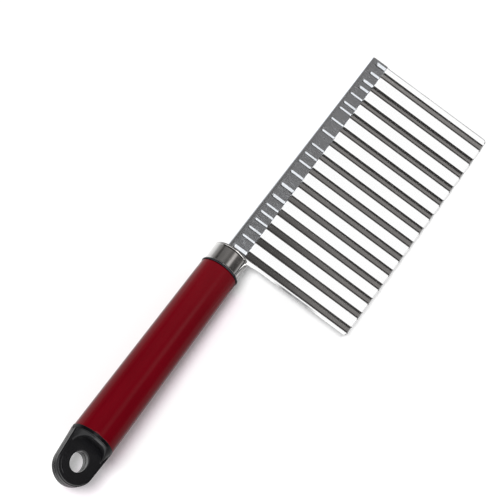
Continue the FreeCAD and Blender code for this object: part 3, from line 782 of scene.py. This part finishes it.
def make_tube():
    """A lathe outline: the tapered outside with rounded ends, and the bore."""
    rear_radius = in_mm(sizes().tube_rear_radius)
    front_radius = in_mm(sizes().tube_front_radius)
    rear, front, wall = TUBE_REAR, 96.3, 0.6
    slope = (rear_radius - front_radius) / (front - rear)
    along = np.linspace(rear + 0.6, front - 0.6, 60)
    stations, radii = outline(
        (rear, rear_radius - wall),
        (rear, rear_radius - 0.15),
        arc(rear + 0.12, rear_radius - 0.12, 0.12, 180.0, 90.0, 4),
        (along, rear_radius - slope * (along - rear)),
        arc(front - 0.5, front_radius - 0.5 + 0.005, 0.5, 90.0, 0.0, 9),
        (front, front_radius - wall),
    )
    make_piece(
        "crimson_tube", "handle_tube", crimson_paint(),
        [(lathe(stations, radii, 160) - np.array([0.0, 0.07, 0.0]), True, True)], 40.0,
    )


class CUTTER_OT_bush(bpy.types.Operator):
    """Make the bush with the flange that shows between tube and ferrule"""

    bl_idname = "cutter.bush"
    bl_label = "Front bush"

    def execute(self, context):
        make_bush()
        return {"FINISHED"}


def make_bush():
    """A lathe outline: the flange with its rounded rim, and the plug in the tube."""
    rim = in_mm(sizes().flange_radius)
    plug = in_mm(sizes().tube_front_radius) - 0.7
    rear, back, front = 83.4, 96.3, 96.92
    stations, radii = outline(
        (rear, 0.0), (rear, plug - 0.3), (rear + 0.3, plug), (back, plug),
        (back, rim - 0.3), arc(back + 0.2, rim - 0.2, 0.2, 180.0, 90.0, 6),
        arc(front - 0.2, rim - 0.2, 0.2, 90.0, 0.0, 6), (front, 0.0),
    )
    make_piece(
        "black_bush", "front_bush", bpy.data.materials["black_plastic"],
        [(lathe(stations, radii, 128) + np.array([0.0, -0.08, 0.14]), True, False)], 40.0,
    )


# The cap.


EAR_TIP = 0.35
RECESS_WALL = 16.75
TUBE_REAR = 19.2


def round_join(first, second, radius):
    """The inside of both of two shapes given by their distances, with the edge between
    them rounded: the length of both distances past the edge's rounding, less it."""
    a = np.maximum(first + radius, 0.0)
    b = np.maximum(second + radius, 0.0)
    return np.minimum(np.maximum(first, second), -radius) + np.hypot(a, b)


def soft_union(first, second, radius):
    """The inside of either of two shapes, with a fillet of about this radius between."""
    share = np.clip(0.5 + 0.5 * (second - first) / radius, 0.0, 1.0)
    return second + (first - second) * share - radius * share * (1.0 - share)


def ear_side_distance(x, y, radius, flare):
    """Distance outside the ear's outline: a round end that meets two straight sides
    opening at the flare's angle."""
    across = np.abs(y)
    normal_x, normal_y = -math.sin(flare), math.cos(flare)
    side = (x - radius) * normal_x + across * normal_y - radius
    tip = np.hypot(x - radius, across) - radius
    return np.where(x < radius * (1.0 - math.sin(flare)), tip, side)


def hole_distance(x, y, own):
    """Distance-like value outside the hanging hole, an oval: with f the length of the
    place over the half axes, (f - 1) over the slope of f."""
    half_length, half_width = in_mm(own.hole_length) / 2.0, in_mm(own.hole_width) / 2.0
    along = x - HOLE_STATION
    size = np.hypot(along / half_length, y / half_width)
    steep = np.hypot(along / half_length**2, y / half_width**2)
    return (size - 1.0) * size / np.maximum(steep, 1e-6)


def recess_distance(x, y, own):
    """Distance outside the collar's recess: a pocket open towards the tip, with straight
    sides and rounded corners."""
    corner = in_mm(own.recess_corner)
    past_x = x - (RECESS_WALL - corner)
    past_y = np.abs(y) - (in_mm(own.recess_width) / 2.0 - corner)
    rounded = np.hypot(np.maximum(past_x, 0.0), np.maximum(past_y, 0.0))
    return rounded + np.minimum(np.maximum(past_x, past_y), 0.0) - corner


def collar_distance(x, y, z, own):
    """Distance outside the collar: a cone that widens towards the tube, and a ring
    against the tube's end."""
    from_axis = np.hypot(y, z)
    growth = (7.95 - 7.0) / (17.3 - 12.5)
    cone = (from_axis - 7.0 - growth * (x - 12.5)) / math.hypot(1.0, growth)
    cone = np.maximum(cone, np.maximum(11.9 - x, x - TUBE_REAR))
    ring_middle = (TUBE_REAR + 17.8) / 2.0
    ring = round_join(
        from_axis - in_mm(own.ring_radius),
        np.abs(x - ring_middle) - (TUBE_REAR - 17.8) / 2.0, 0.2,
    )
    return soft_union(cone, ring, 0.15)


def cap_distance(x, y, z, own):
    """Distance-like value of the cap, below zero inside: the ear's plate with its
    rounded rim, the collar outside its recess, and the hanging hole."""
    side = ear_side_distance(x - EAR_TIP, y, in_mm(own.ear_radius), math.radians(3.7))
    ear = round_join(side, np.abs(z) - in_mm(own.ear_thickness) / 2.0, in_mm(own.ear_round))
    ear = np.maximum(ear, x - TUBE_REAR)
    collar = round_join(
        collar_distance(x, y, z, own), -recess_distance(x, y, own), in_mm(own.recess_rim)
    )
    body = soft_union(ear, collar, 0.04)
    return round_join(body, -hole_distance(x, y, own), 0.3)


def last_inside(value, low, high, rounds):
    """Where a value along rays turns from below zero to above, found by halving."""
    for _ in range(rounds):
        middle = (low + high) / 2.0
        outside = value(middle) > 0.0
        high = np.where(outside, middle, high)
        low = np.where(outside, low, middle)
    return low


def cap_section(own, angles, turns):
    """The cap's skin on rays. At each angle round the hanging hole a ring of rays leaves
    a core point inside the plate, or inside the collar where there is one, and halving
    finds where each ray leaves the cap."""
    sine, cosine = np.sin(angles), np.cos(angles)
    start = np.full(angles.size, 5.6)
    outer = last_inside(
        lambda r: cap_distance(HOLE_STATION + r * cosine, r * sine, 0.0, own),
        start, start + 9.0, 30,
    )
    wall = last_inside(
        lambda r: recess_distance(HOLE_STATION + r * cosine, r * sine, own),
        0.0 * start, start + 9.0, 30,
    )
    in_collar = ease(0.26, 0.42, cosine)
    core = ((1.0 - in_collar) * start + in_collar * (wall + outer) / 2.0)[:, None]
    along_r = np.cos(turns)[None, :]
    along_z = np.sin(turns)[None, :]

    def distance(length):
        r = core + length * along_r
        x, y = HOLE_STATION + r * cosine[:, None], r * sine[:, None]
        return cap_distance(x, y, length * along_z, own)

    none = np.zeros((angles.size, turns.size))
    length = last_inside(distance, none, none + 14.0, 36)
    return core + length * along_r, length * along_z


def even_out(r, z, count):
    """Each ring of skin points, given closely, taken at a set number of places that are
    even along the ring and closer where it turns."""
    step_r = np.diff(r, axis=1, append=r[:, :1])
    step_z = np.diff(z, axis=1, append=z[:, :1])
    heading = np.arctan2(step_z, step_r)
    turn = np.abs((np.diff(heading, axis=1, prepend=heading[:, -1:]) + np.pi) % (2 * np.pi)
                  - np.pi)
    weight = np.hypot(step_r, step_z) + 0.9 * np.minimum(turn, 0.5)
    rows = r.shape[0]
    total = np.concatenate([np.zeros((rows, 1)), np.cumsum(weight, axis=1)], axis=1)
    share = total / total[:, -1:]
    painted_light_over_shade = 2.0 * np.arange(rows)[:, None]
    closed_r = np.concatenate([r, r[:, :1]], axis=1)
    closed_z = np.concatenate([z, z[:, :1]], axis=1)
    wanted = (np.arange(count) / count)[None, :] + painted_light_over_shade
    known = (share + painted_light_over_shade).ravel()
    even_r = np.interp(wanted.ravel(), known, closed_r.ravel()).reshape(rows, count)
    even_z = np.interp(wanted.ravel(), known, closed_z.ravel()).reshape(rows, count)
    return even_r, even_z


class CUTTER_OT_cap(bpy.types.Operator):
    """Make the hanging cap"""

    bl_idname = "cutter.cap"
    bl_label = "Hanging cap"

    def execute(self, context):
        make_cap()
        return {"FINISHED"}


def make_cap():
    """The cap's skin as rings round the hanging hole's wall, slid sideways in proportion
    to the distance from the tube, and its hollow plug as a lathe outline, both turned
    about the handle's axis."""
    own = sizes()
    close = np.linspace(30.0, 75.0, 113)
    angles = np.concatenate([np.linspace(-180.0, 180.0, 181)[:-1], close, -close])
    angles = np.radians(np.unique(np.round(angles, 3)))
    quarter = np.radians(np.concatenate([
        np.linspace(0.0, 80.0, 160, endpoint=False),
        np.linspace(80.0, 100.0, 500, endpoint=False),
        np.linspace(100.0, 180.0, 260, endpoint=False),
    ]))
    turns = np.concatenate([quarter, 2.0 * np.pi - quarter[::-1][:-1], [np.pi]])
    turns = np.unique(np.round(turns, 9))
    r, z = cap_section(own, angles, turns)
    r, z = even_out(r, z, 200)
    x = HOLE_STATION + r * np.cos(angles)[:, None]
    y = r * np.sin(angles)[:, None]
    y = y - math.tan(own.ear_skew) * np.maximum(18.5 - x, 0.0)
    skin = np.stack([x, y, z], axis=-1)
    inside = in_mm(own.tube_rear_radius) - 0.65
    stations, radii = outline(
        (18.9, 0.0), (18.9, inside), (29.9, inside - 0.1254),
        (30.2, inside - 0.4), (30.2, 5.6), (21.2, 5.6), (21.2, 0.0),
    )
    plug = lathe(stations, radii, 96)
    turned = np.array(Matrix.Rotation(CAP_TURN, 3, "X"))
    make_piece(
        "hanging_cap", "end_cap", black_plastic(),
        [(skin @ turned.T, True, True), (plug @ turned.T, True, False)], 40.0,
    )


class CUTTER_OT_inner_parts(bpy.types.Operator):
    """Give the tang and its pin their finishes"""

    bl_idname = "cutter.inner_parts"
    bl_label = "Inner parts"

    def execute(self, context):
        mill = steel("inner", (40.0, 1800.0, 1800.0), 0.000002, 0.28, 0.12, 0.85)
        for name in ("tang", "tang_pin"):
            materials = frame["nodes"][name].data.materials
            materials.clear()
            materials.append(mill)
        return {"FINISHED"}


# Floor, light and camera.


def in_degrees(tree, turn):
    return product(tree, turn, 180.0 / math.pi)


def studio_world():
    """Soft light from all round, stronger low down. What gloss and polished steel see
    of it is the studio: a white light box over the camera, dim panels beside the tool,
    and ahead a dark ceiling over a grey-brown wall. Of the two angles one is the lift
    out of the plane square to the handle, and one the turn in it from overhead."""
    world = bpy.data.worlds.new("studio")
    world.use_nodes = True
    tree = world.node_tree
    tree.nodes.clear()
    source = add_node(tree, "ShaderNodeTexCoord", {}).outputs["Generated"]
    parts = separate(tree, along_tool(tree, source))
    along = in_degrees(tree, arithmetic(tree, "ARCSINE", parts["X"]))
    across = in_degrees(tree, arithmetic(tree, "ARCTAN2", parts["Y"], parts["Z"]))
    sideways = arithmetic(tree, "ABSOLUTE", across)

    sweep = colour_ramp(tree, ranged(tree, along, -90.0, 90.0, 0.0, 1.0), stops(90.0, [
        (22.8, 0.26), (24.0, 0.20), (24.8, 0.16), (25.6, 0.17), (26.1, 0.30), (26.8, 0.42),
        (28.5, 0.20), (32.0, 0.03), (60.0, 0.03), (66.0, 0.05), (70.0, 0.08), (74.0, 0.16),
        (76.0, 0.20), (80.0, 0.22), (90.0, 0.30),
    ], (1.05, 1.0, 0.97)))
    ring = colour_ramp(tree, ranged(tree, across, -180.0, 180.0, 0.0, 1.0), stops(180.0, [
        (-180, 0.5), (-100, 0.42), (-90, 0.41), (-87, 0.32), (-80, 0.10), (-76, 0.06),
        (-68, 0.035), (-58, 0.033), (-46, 0.045), (-40, 0.06), (-34, 0.20), (-29, 0.50),
        (-20, 0.60), (-13, 0.34), (-7, 0.12), (0, 0.07), (8, 0.11), (20, 0.16), (28, 0.145),
        (40, 0.125), (52, 0.11), (57, 0.07), (61, 0.022), (66, 0.03), (69, 0.06),
        (75, 0.16), (82, 0.25), (89, 0.31), (96, 0.38), (180, 0.5),
    ], (1.0, 0.97, 0.95)))
    panel = shaded(tree, ring, ranged(tree, along, 20.5, 22.0, 0.42, 1.0))
    dim = mix_colour(tree, ranged(tree, along, 22.3, 22.9, 0.0, 1.0), panel, sweep)
    box_end = ranged(tree, sideways, 8.0, 14.0, 15.0, 4.0)
    past_end = arithmetic(tree, "SUBTRACT", along, box_end)
    box = ranged(tree, past_end, -1.5, 1.5, 1.0, 0.0)
    level = product(
        tree, ranged(tree, across, -10.0, -6.0, 2.4, 1.1),
        ranged(tree, sideways, 60.0, 82.0, 1.0, 0.45),
    )
    level = product(tree, level, ranged(tree, along, -66.0, -60.0, 0.25, 1.0))
    seen = mix_colour(tree, box, dim, level)
    soft = ranged(tree, separate(tree, source)["Z"], 0.0, 0.6, 0.9, 0.25)
    rays = add_node(tree, "ShaderNodeLightPath", {}).outputs
    lit = mix_colour(tree, rays["Is Glossy Ray"], soft, seen)
    shown = mix_colour(tree, rays["Is Camera Ray"], lit, (1.0, 1.0, 1.0, 1.0))
    background = add_node(tree, "ShaderNodeBackground", {"Color": shown, "Strength": 1.0})
    add_node(tree, "ShaderNodeOutputWorld", {"Surface": background.outputs["Background"]})
    bpy.context.scene.world = world


def floor_material():
    """Matt white table. Camera, glossy and clear rays see a little light of its own, so
    that it is white in the picture and keeps the tool's shadow. Reflections see painted
    shade on it: darker the farther it lies from the handle's line, and darker on the
    shaded side of the handle. For the camera, painted light lifts the shade beyond the
    cutting edge and beside the cap, and painted red bounce light from the tube lies
    beside the tube."""
    colour = tuple(colours().floor)
    material, tree, shader = new_material("white_table")
    paper = noise(tree, tool_coordinates(tree), 30.0, 2.0, 0.5)
    tone = mix_colour(tree, paper, tinted(colour, 0.995), tinted(colour, 1.0))
    parts = separate(tree, object_coordinates(tree))
    along = parts["X"]
    across = arithmetic(tree, "SUBTRACT", parts["Y"], float(TOOL_SHIFT[1]))
    away = arithmetic(tree, "ABSOLUTE", across)

    # painted shade: reflections see the table darker the farther it lies from the handle's line
    painted_falloff_stops = [(0.02, 1.3), (0.035, 0.72), (0.06, 0.60), (0.10, 0.47), (0.29, 0.33), (1.0, 0.27)]
    painted_reflection_shade = colour_ramp(
        tree, ranged(tree, away, 0.0, 0.3, 0.0, 1.0),
        [(share, (level,) * 3) for share, level in painted_falloff_stops],
    )
    # painted shade and light: by the ferrule, reflections see the table darker on the shaded side
    # and brighter on the lit side
    beside = colour_ramp(tree, ranged(tree, across, -0.1, 0.1, 0.0, 1.0), stops(100.0, [
        (-100.0, 1.0), (-42.0, 1.0), (-26.0, 0.74), (-20.0, 0.7), (-15.6, 0.37),
        (-12.8, 0.25), (-10.4, 0.37), (-8.0, 0.5), (0.0, 0.6), (9.0, 0.70), (13.0, 0.85),
        (100.0, 0.85),
    ]))
    beside = shaded(tree, beside, (1.6, 1.6, 1.6, 1.0))
    by_ferrule = product(
        tree, ranged(tree, along, -0.0045, -0.0030, 0.0, 1.0),
        ranged(tree, along, 0.015, 0.025, 1.0, 0.0),
    )
    painted_reflection_shade = mix_colour(tree, by_ferrule, painted_reflection_shade, shaded(tree, painted_reflection_shade, beside))
    # painted shade: reflections see the table darker beyond the cap's tip
    painted_reflection_shade = shaded(tree, painted_reflection_shade, ranged(tree, along, -0.0975, -0.0935, 0.5, 1.0))
    # painted shade: reflections see the table darker on the tube's shaded side
    slanted = arithmetic(tree, "SUBTRACT", along, product(tree, away, 0.36))
    by_tube = arithmetic(
        tree, "MAXIMUM", ranged(tree, slanted, -0.0037, -0.0027, 0.6, 1.0),
        ranged(tree, across, -0.008, -0.004, 0.6, 1.0),
    )
    painted_reflection_shade = shaded(tree, painted_reflection_shade, by_tube)
    rays = add_node(tree, "ShaderNodeLightPath", {}).outputs
    # only glossy rays see this painted shade
    glossy_painted_shade = mix_colour(tree, rays["Is Glossy Ray"], (1.0, 1.0, 1.0, 1.0), painted_reflection_shade)

    # painted bounce light: the table tinted with the tube's red beside the tube's shaded side
    painted_red_bounce = product(
        tree, ranged(tree, across, -0.015, -0.011, 0.0, 1.0),
        ranged(tree, along, -0.006, -0.002, 1.0, 0.0),
    )
    painted_red_bounce = product(tree, painted_red_bounce, ranged(tree, across, -0.003, 0.0, 1.0, 0.0))
    tone = mix_colour(tree, painted_red_bounce, tone, shaded(tree, tone, (1.0, 0.925, 0.975, 1.0)))
    seen = arithmetic(
        tree, "MAXIMUM", rays["Is Camera Ray"],
        arithmetic(tree, "MAXIMUM", rays["Is Glossy Ray"], rays["Is Transmission Ray"]),
    )
    # painted light: the camera sees the table glow brighter beyond the cutting edge and beside
    # the cap, where the tool's shade falls
    painted_light_over_shade = arithmetic(
        tree, "MAXIMUM", ranged(tree, across, -0.0497, -0.0485, 0.45, 0.0),
        ranged(tree, along, -0.085, -0.080, 0.14, 0.0),
    )
    strength = arithmetic(
        tree, "ADD", product(tree, seen, 0.08), product(tree, painted_light_over_shade, rays["Is Camera Ray"])
    )
    fill(tree, shader, {
        "Base Color": shaded(tree, tone, glossy_painted_shade), "Roughness": 0.9,
        "Specular IOR Level": 0.0, "Emission Color": glossy_painted_shade, "Emission Strength": strength,
    })
    return material


def tool_direction(vector):
    return Vector(TOOL_TURN @ np.asarray(vector, float))


def make_camera():
    """The photograph's view: a long lens over the cap's end, looking at the blade. The
    focal length is in the picture's pixels."""
    azimuth, elevation, roll = map(math.radians, (182.063, 67.528, 34.706))
    back = Vector((
        math.cos(elevation) * math.cos(azimuth), math.cos(elevation) * math.sin(azimuth),
        math.sin(elevation),
    ))
    level = (-back).cross(Vector((0.0, 0.0, 1.0))).normalized()
    upright = level.cross(-back)
    right = math.cos(roll) * level + math.sin(roll) * upright
    up = math.cos(roll) * upright - math.sin(roll) * level
    target, distance = np.array([110.266, -4.142, 0.0]), 1083.5
    picture_width, focal_length = 500.0, 3063.1
    data = bpy.data.cameras.new("camera")
    data.sensor_width = 36.0
    data.lens = data.sensor_width * focal_length / picture_width
    data.clip_start = 0.05
    data.clip_end = 20.0
    camera = bpy.data.objects.new("camera", data)
    axes = Matrix([tool_direction(v) for v in (right, up, back)]).transposed()
    camera.matrix_world = Matrix.LocRotScale(
        Vector(to_part(target + distance * np.array(back))), axes, None
    )
    bpy.context.scene.collection.objects.link(camera)
    bpy.context.scene.camera = camera


class CUTTER_OT_stage(bpy.types.Operator):
    """Make the floor, the light and the camera"""

    bl_idname = "cutter.stage"
    bl_label = "Floor, light and camera"

    def execute(self, context):
        mesh = bpy.data.meshes.new("table")
        half = 6.0
        corners = [(-half, -half, 0.0), (half, -half, 0.0), (half, half, 0.0), (-half, half, 0.0)]
        mesh.from_pydata(corners, [], [(0, 1, 2, 3)])
        mesh.materials.append(floor_material())
        table = bpy.data.objects.new("table", mesh)
        context.scene.collection.objects.link(table)
        studio_world()
        sun = bpy.data.lights.new("window", "SUN")
        sun.energy = 2.55
        sun.angle = math.radians(24.0)
        lamp = bpy.data.objects.new("window", sun)
        toward = Vector((-0.27, 0.25, 0.94)).normalized()
        lamp.rotation_euler = toward.to_track_quat("Z", "Y").to_euler()
        lamp.location = toward
        lamp.visible_glossy = False
        context.scene.collection.objects.link(lamp)
        make_camera()
        context.scene.view_settings.view_transform = "Standard"
        return {"FINISHED"}


class CUTTER_PT_panel(bpy.types.Panel):
    """The crinkle cutter's pieces, sizes and colours"""

    bl_idname = "CUTTER_PT_panel"
    bl_label = "Crinkle cutter"
    bl_space_type = "VIEW_3D"
    bl_region_type = "UI"
    bl_category = "Crinkle cutter"

    def draw(self, context):
        column = self.layout.column()
        for operator in OPERATORS:
            column.operator(operator.bl_idname)
        for group in (context.scene.cutter_sizes, context.scene.cutter_colours):
            box = self.layout.box()
            for name in group.bl_rna.properties.keys():
                if name not in ("rna_type", "name"):
                    box.prop(group, name)


OPERATORS = (
    CUTTER_OT_blade, CUTTER_OT_spine, CUTTER_OT_ferrule, CUTTER_OT_tube, CUTTER_OT_cap,
    CUTTER_OT_bush, CUTTER_OT_inner_parts, CUTTER_OT_stage,
)
CLASSES = (CutterSizes, CutterColours, *OPERATORS, CUTTER_PT_panel)


def register():
    for each in CLASSES:
        bpy.utils.register_class(each)
    bpy.types.Scene.cutter_sizes = bpy.props.PointerProperty(type=CutterSizes)
    bpy.types.Scene.cutter_colours = bpy.props.PointerProperty(type=CutterColours)


def unregister():
    del bpy.types.Scene.cutter_colours
    del bpy.types.Scene.cutter_sizes
    for each in reversed(CLASSES):
        bpy.utils.unregister_class(each)


def main():
    register()
    bpy.ops.cutter.blade()
    bpy.ops.cutter.spine()
    bpy.ops.cutter.ferrule()
    bpy.ops.cutter.tube()
    bpy.ops.cutter.cap()
    bpy.ops.cutter.bush()
    bpy.ops.cutter.inner_parts()
    bpy.ops.cutter.stage()


if __name__ == "__main__":
    main()
